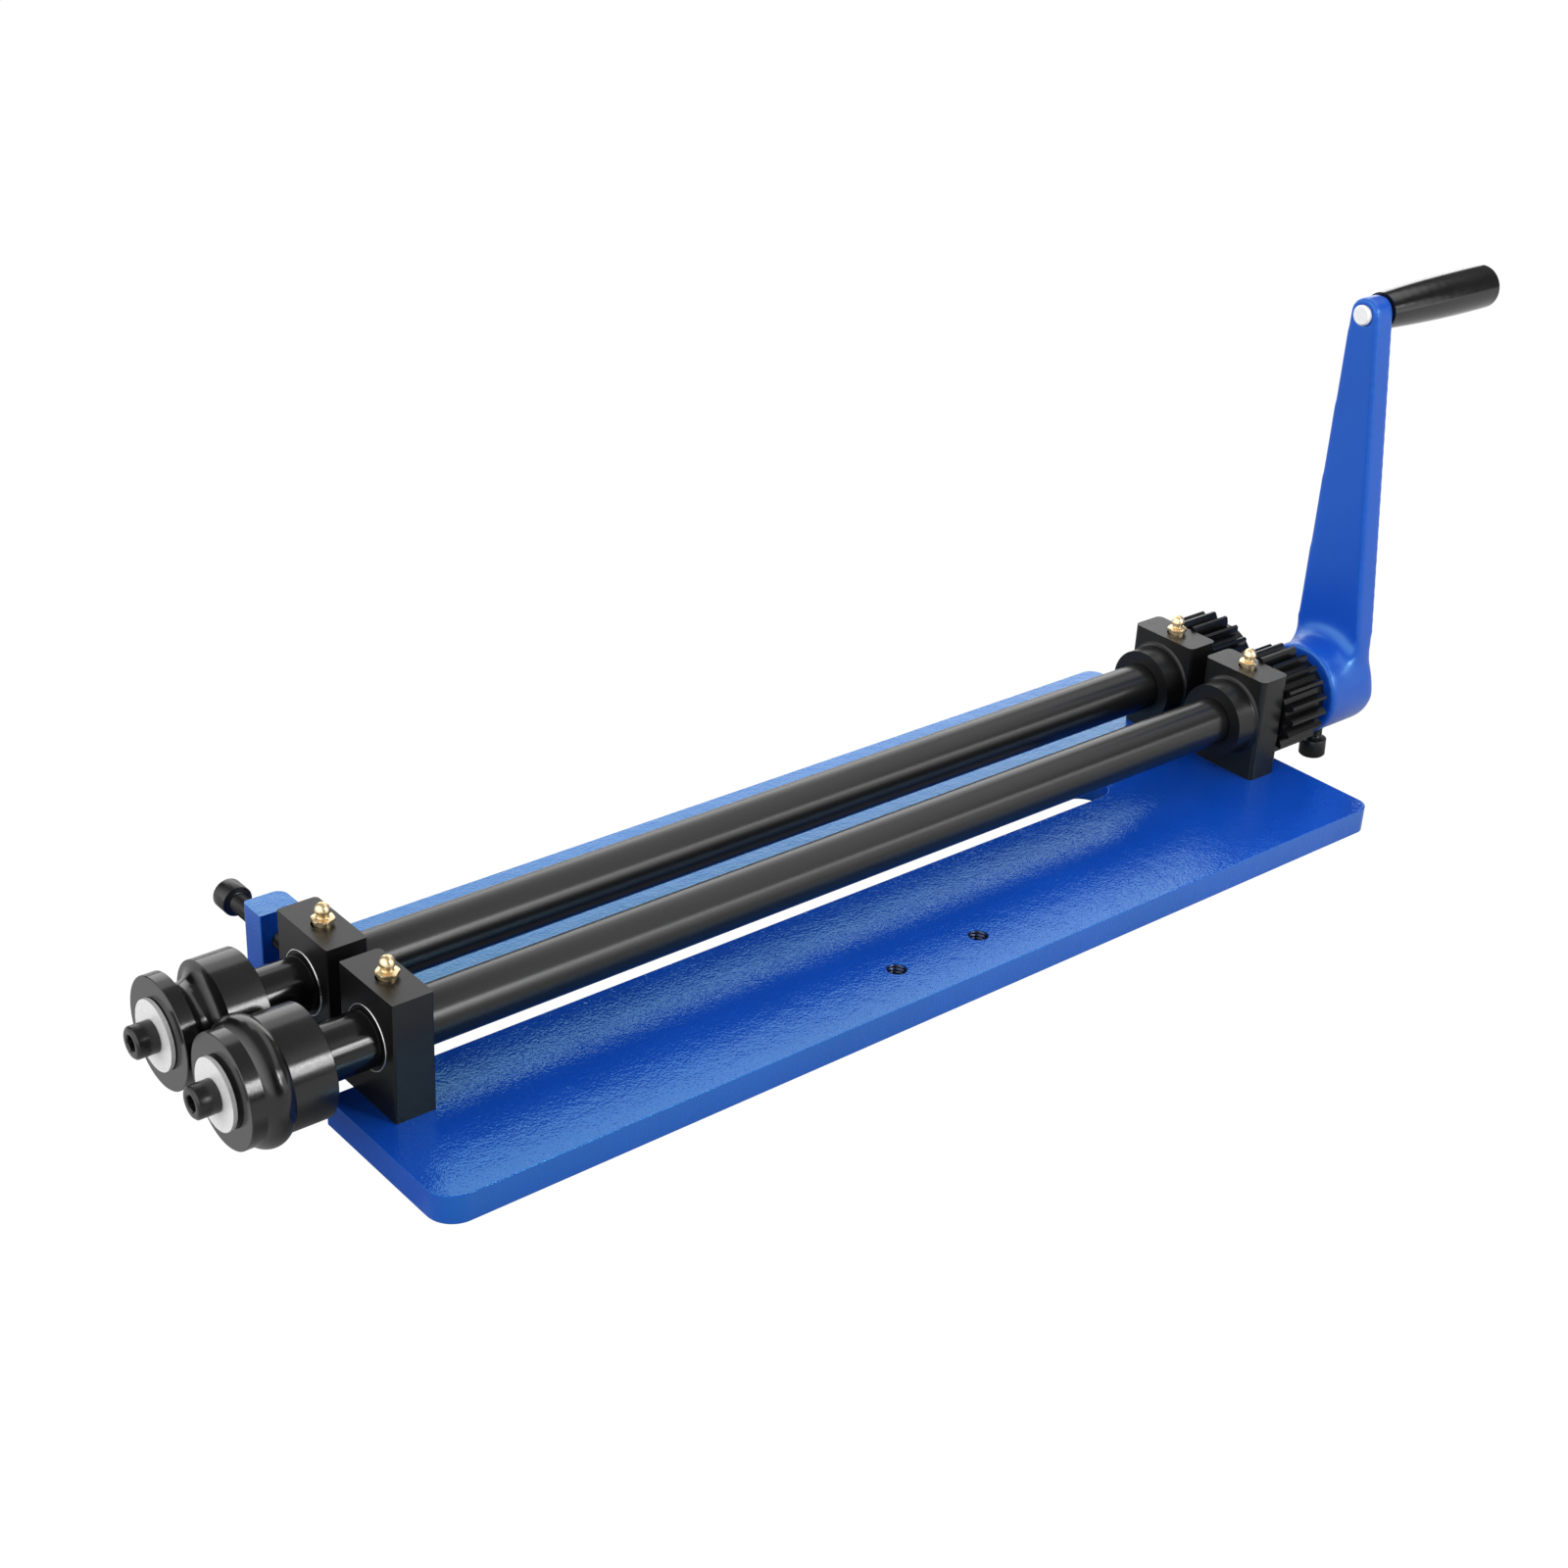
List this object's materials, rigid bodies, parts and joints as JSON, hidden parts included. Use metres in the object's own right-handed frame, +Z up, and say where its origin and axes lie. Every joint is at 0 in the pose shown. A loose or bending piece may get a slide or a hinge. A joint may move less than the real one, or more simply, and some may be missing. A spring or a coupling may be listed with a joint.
{
  "type": "bead roller",
  "caption": "Hand-cranked bead roller: two geared shafts on a slotted plate turn a beaded and a grooved roll over sheet metal, with an adjusting screw for the gap.",
  "frame": {"origin": "midway between the two tapped mounting holes, on the underside of the frame plate", "axes": "+X along the shafts towards the crank, +Y across the plate towards the adjusting screw, +Z up, away from the plate's underside"},
  "size_m": [0.685, 0.1849, 0.2271],
  "materials": {
    "blue_paint": "gloss blue paint with fine orange peel",
    "black_block": "satin black",
    "black_shaft": "black oxide, satin",
    "black_gear": "black oxide, oiled",
    "black_roll": "black oxide, smooth turned",
    "black_screw": "black oxide",
    "bright_zinc": "bright zinc plating",
    "bush_metal": "turned, oiled",
    "brass": "machined brass",
    "black_plastic": "moulded gloss black"
  },
  "bodies": {
    "frame": {"frame_plate": "blue_paint", "adjuster_lug": "blue_paint", "front_roll_block": "black_block", "front_gear_block": "black_block", "front_roll_bush": "bush_metal", "front_gear_bush": "bush_metal", "front_roll_nipple": "brass", "front_gear_nipple": "brass", "front_block_bolts": "black_screw"},
    "front_spindle": {"front_shaft": "black_shaft", "male_roll": "black_roll", "front_roll_key": "bush_metal", "front_roll_washer": "bright_zinc", "front_roll_screw": "black_screw", "drive_gear": "black_gear", "front_gear_key": "bush_metal", "drive_gear_set_screw": "black_screw", "crank": "blue_paint", "crank_clamp_screw": "black_screw", "handle_spindle": "bright_zinc"},
    "grip": {"handle_grip": "black_plastic", "grip_end_cap": "black_plastic"},
    "sliding_block": {"rear_roll_block": "black_block", "rear_roll_bush": "bush_metal", "rear_roll_nipple": "brass", "rear_guide_bolt": "black_screw"},
    "adjuster": {"adjusting_screw": "black_screw"},
    "swinging_block": {"rear_gear_block": "black_block", "rear_gear_bush": "bush_metal", "rear_gear_nipple": "brass", "rear_pivot_bolt": "black_screw"},
    "rear_spindle": {"rear_shaft": "black_shaft", "female_roll": "black_roll", "rear_roll_key": "bush_metal", "rear_roll_washer": "bright_zinc", "rear_roll_screw": "black_screw", "driven_gear": "black_gear", "rear_gear_key": "bush_metal", "driven_gear_set_screw": "black_screw"}
  },
  "joints": [
    {"name": "crank_spin", "type": "hinge", "parent": "frame", "child": "front_spindle", "pos_m": [0, 0.04405, 0.0395], "axis": [1, 0, 0], "continuous": true},
    {"name": "grip_spin", "type": "hinge", "parent": "front_spindle", "child": "grip", "pos_m": [0.3, 0.05303, 0.21687], "axis": [1, 0, 0], "continuous": true},
    {"name": "roll_gap", "type": "slide", "parent": "frame", "child": "sliding_block", "axis": [0, 1, 0], "range_m": [-0.0008, 0.004]},
    {"name": "screw_turn", "type": "hinge", "parent": "sliding_block", "child": "adjuster", "pos_m": [-0.2303, 0.15, 0.0395], "axis": [0, 1, 0], "range_deg": [-231, 1153]},
    {"name": "rear_swing", "type": "hinge", "parent": "frame", "child": "swinging_block", "pos_m": [0.2303, 0.08855, 0.02], "axis": [0, 0, 1], "range_deg": [-0.5, 0.1]},
    {"name": "rear_spin", "type": "hinge", "parent": "swinging_block", "child": "rear_spindle", "pos_m": [0, 0.08855, 0.0395], "axis": [1, 0, 0], "continuous": true}
  ],
  "couplings": [
    {"joint": "rear_spin", "follows": "crank_spin", "ratio": -1},
    {"joint": "screw_turn", "follows": "roll_gap", "rad_per_m": 5026.5},
    {"joint": "rear_swing", "follows": "roll_gap", "rad_per_m": -2.1711}
  ]
}
